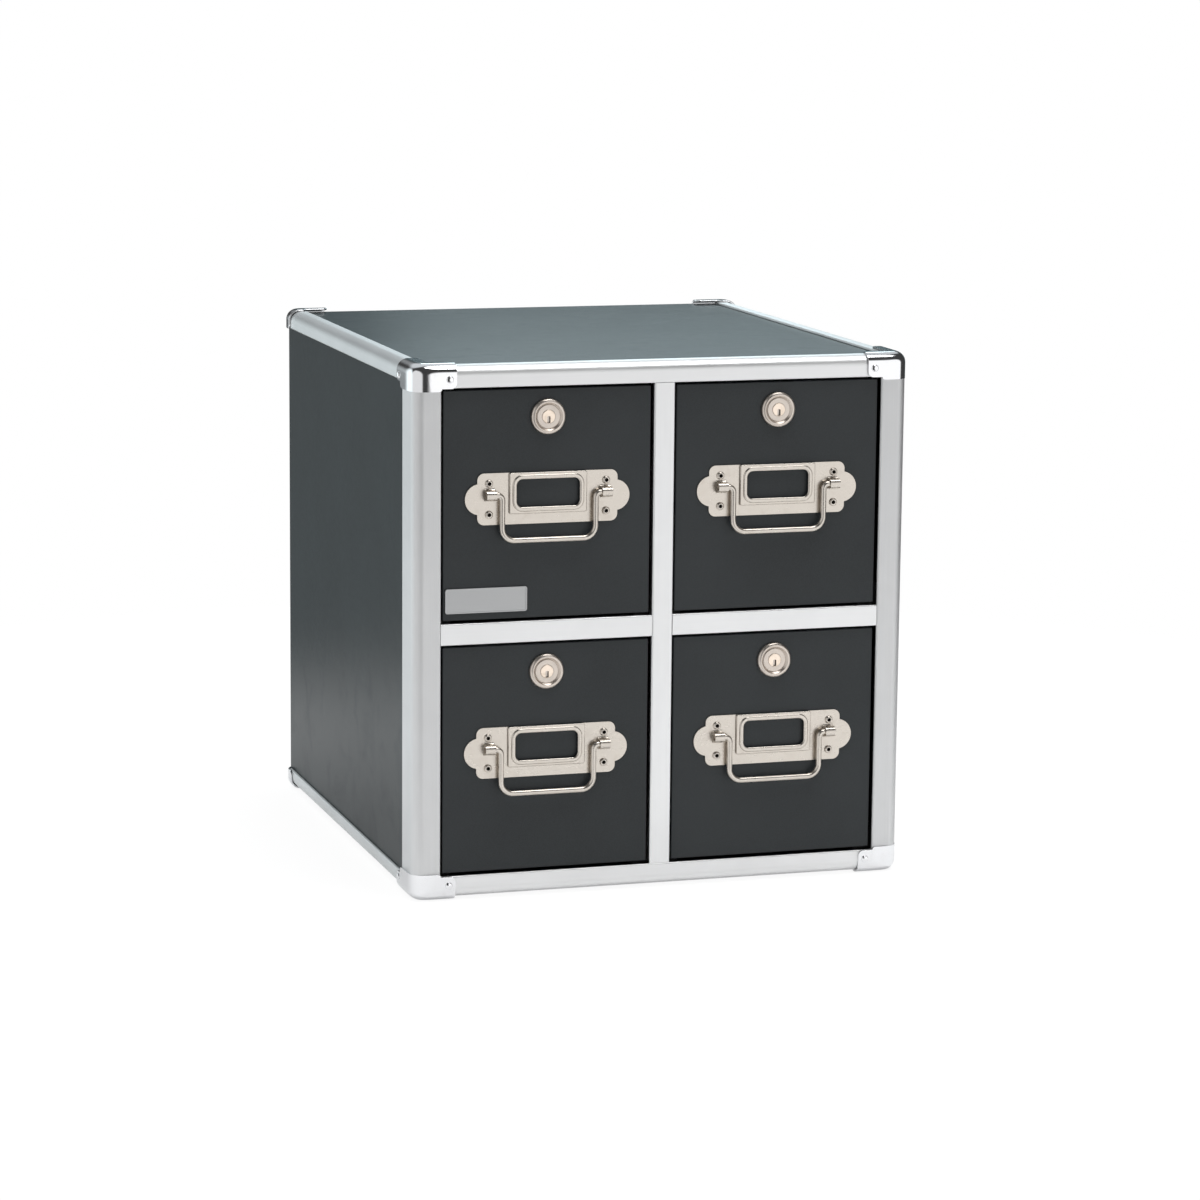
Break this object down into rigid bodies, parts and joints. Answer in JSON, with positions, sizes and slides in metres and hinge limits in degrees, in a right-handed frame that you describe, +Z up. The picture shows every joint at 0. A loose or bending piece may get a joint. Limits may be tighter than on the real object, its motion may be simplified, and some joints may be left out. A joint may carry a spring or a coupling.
{
  "type": "cd drawer cabinet",
  "caption": "Free-standing disc cabinet: dark boards in aluminium edges with capped corners, and sliding drawers with label pulls, hinged bails and turning cam locks.",
  "frame": {"origin": "on the floor, under the middle of the object's box", "axes": "+Z up, the drawers face -Y, +X to the right of someone who faces them"},
  "size_m": [0.3734, 0.4084, 0.384],
  "materials": {
    "laminate": "board faced with a near-black matt laminate",
    "aluminium": "satin anodised",
    "cap_chrome": "pressed steel, chromed",
    "nickel": "stamped steel, bright nickel with a warm tint",
    "lock_chrome": "die-cast, nickel plated",
    "lock_brass": "turned, pale brass",
    "zinc_steel": "zinc plated",
    "badge_metal": "bare satin plate",
    "tray_wood": "fibreboard with a dark grey foil"
  },
  "bodies": {
    "case": {"top_board": "laminate", "bottom_board": "laminate", "left_board": "laminate", "right_board": "laminate", "back_board": "laminate", "partition": "laminate", "left_shelf": "laminate", "right_shelf": "laminate", "left_post": "aluminium", "right_post": "aluminium", "top_front_rail": "aluminium", "bottom_front_rail": "aluminium", "top_left_edge": "aluminium", "top_right_edge": "aluminium", "bottom_left_edge": "aluminium", "bottom_right_edge": "aluminium", "centre_bar": "aluminium", "left_mid_bar": "aluminium", "right_mid_bar": "aluminium", "front_corner_caps": "cap_chrome", "rear_corner_caps": "cap_chrome", "cap_rivets": "cap_chrome", "drawer_runners": "tray_wood"},
    "upper_left_drawer": {"upper_left_drawer_front": "laminate", "upper_left_drawer_tray": "tray_wood", "upper_left_pull_plate": "nickel", "upper_left_pull_rivets": "nickel", "upper_left_lock_body": "lock_chrome", "upper_left_lock_nut": "zinc_steel", "badge_plate": "badge_metal"},
    "upper_left_bail": {"upper_left_bail": "nickel"},
    "upper_left_lock": {"upper_left_lock_plug": "lock_brass", "upper_left_lock_cam": "zinc_steel"},
    "upper_right_drawer": {"upper_right_drawer_front": "laminate", "upper_right_drawer_tray": "tray_wood", "upper_right_pull_plate": "nickel", "upper_right_pull_rivets": "nickel", "upper_right_lock_body": "lock_chrome", "upper_right_lock_nut": "zinc_steel"},
    "upper_right_bail": {"upper_right_bail": "nickel"},
    "upper_right_lock": {"upper_right_lock_plug": "lock_brass", "upper_right_lock_cam": "zinc_steel"},
    "lower_left_drawer": {"lower_left_drawer_front": "laminate", "lower_left_drawer_tray": "tray_wood", "lower_left_pull_plate": "nickel", "lower_left_pull_rivets": "nickel", "lower_left_lock_body": "lock_chrome", "lower_left_lock_nut": "zinc_steel"},
    "lower_left_bail": {"lower_left_bail": "nickel"},
    "lower_left_lock": {"lower_left_lock_plug": "lock_brass", "lower_left_lock_cam": "zinc_steel"},
    "lower_right_drawer": {"lower_right_drawer_front": "laminate", "lower_right_drawer_tray": "tray_wood", "lower_right_pull_plate": "nickel", "lower_right_pull_rivets": "nickel", "lower_right_lock_body": "lock_chrome", "lower_right_lock_nut": "zinc_steel"},
    "lower_right_bail": {"lower_right_bail": "nickel"},
    "lower_right_lock": {"lower_right_lock_plug": "lock_brass", "lower_right_lock_cam": "zinc_steel"}
  },
  "joints": [
    {"name": "upper_left_slide", "type": "slide", "parent": "case", "child": "upper_left_drawer", "axis": [0, -1, 0], "range_m": [0, 0.3]},
    {"name": "upper_left_bail_swing", "type": "hinge", "parent": "upper_left_drawer", "child": "upper_left_bail", "pos_m": [-0.08578, -0.20053, 0.2905], "axis": [-1, 0, 0], "range_deg": [0, 170]},
    {"name": "upper_left_lock_turn", "type": "hinge", "parent": "upper_left_drawer", "child": "upper_left_lock", "pos_m": [-0.08578, -0.19553, 0.3449], "axis": [0, -1, 0], "range_deg": [0, 90]},
    {"name": "upper_right_slide", "type": "slide", "parent": "case", "child": "upper_right_drawer", "axis": [0, -1, 0], "range_m": [0, 0.3]},
    {"name": "upper_right_bail_swing", "type": "hinge", "parent": "upper_right_drawer", "child": "upper_right_bail", "pos_m": [0.08578, -0.20053, 0.2905], "axis": [-1, 0, 0], "range_deg": [0, 170]},
    {"name": "upper_right_lock_turn", "type": "hinge", "parent": "upper_right_drawer", "child": "upper_right_lock", "pos_m": [0.08578, -0.19553, 0.3449], "axis": [0, -1, 0], "range_deg": [0, 90]},
    {"name": "lower_left_slide", "type": "slide", "parent": "case", "child": "lower_left_drawer", "axis": [0, -1, 0], "range_m": [0, 0.3]},
    {"name": "lower_left_bail_swing", "type": "hinge", "parent": "lower_left_drawer", "child": "lower_left_bail", "pos_m": [-0.08578, -0.20053, 0.10825], "axis": [-1, 0, 0], "range_deg": [0, 170]},
    {"name": "lower_left_lock_turn", "type": "hinge", "parent": "lower_left_drawer", "child": "lower_left_lock", "pos_m": [-0.08578, -0.19553, 0.16265], "axis": [0, -1, 0], "range_deg": [0, 90]},
    {"name": "lower_right_slide", "type": "slide", "parent": "case", "child": "lower_right_drawer", "axis": [0, -1, 0], "range_m": [0, 0.3]},
    {"name": "lower_right_bail_swing", "type": "hinge", "parent": "lower_right_drawer", "child": "lower_right_bail", "pos_m": [0.08578, -0.20053, 0.10825], "axis": [-1, 0, 0], "range_deg": [0, 170]},
    {"name": "lower_right_lock_turn", "type": "hinge", "parent": "lower_right_drawer", "child": "lower_right_lock", "pos_m": [0.08578, -0.19553, 0.16265], "axis": [0, -1, 0], "range_deg": [0, 90]}
  ]
}
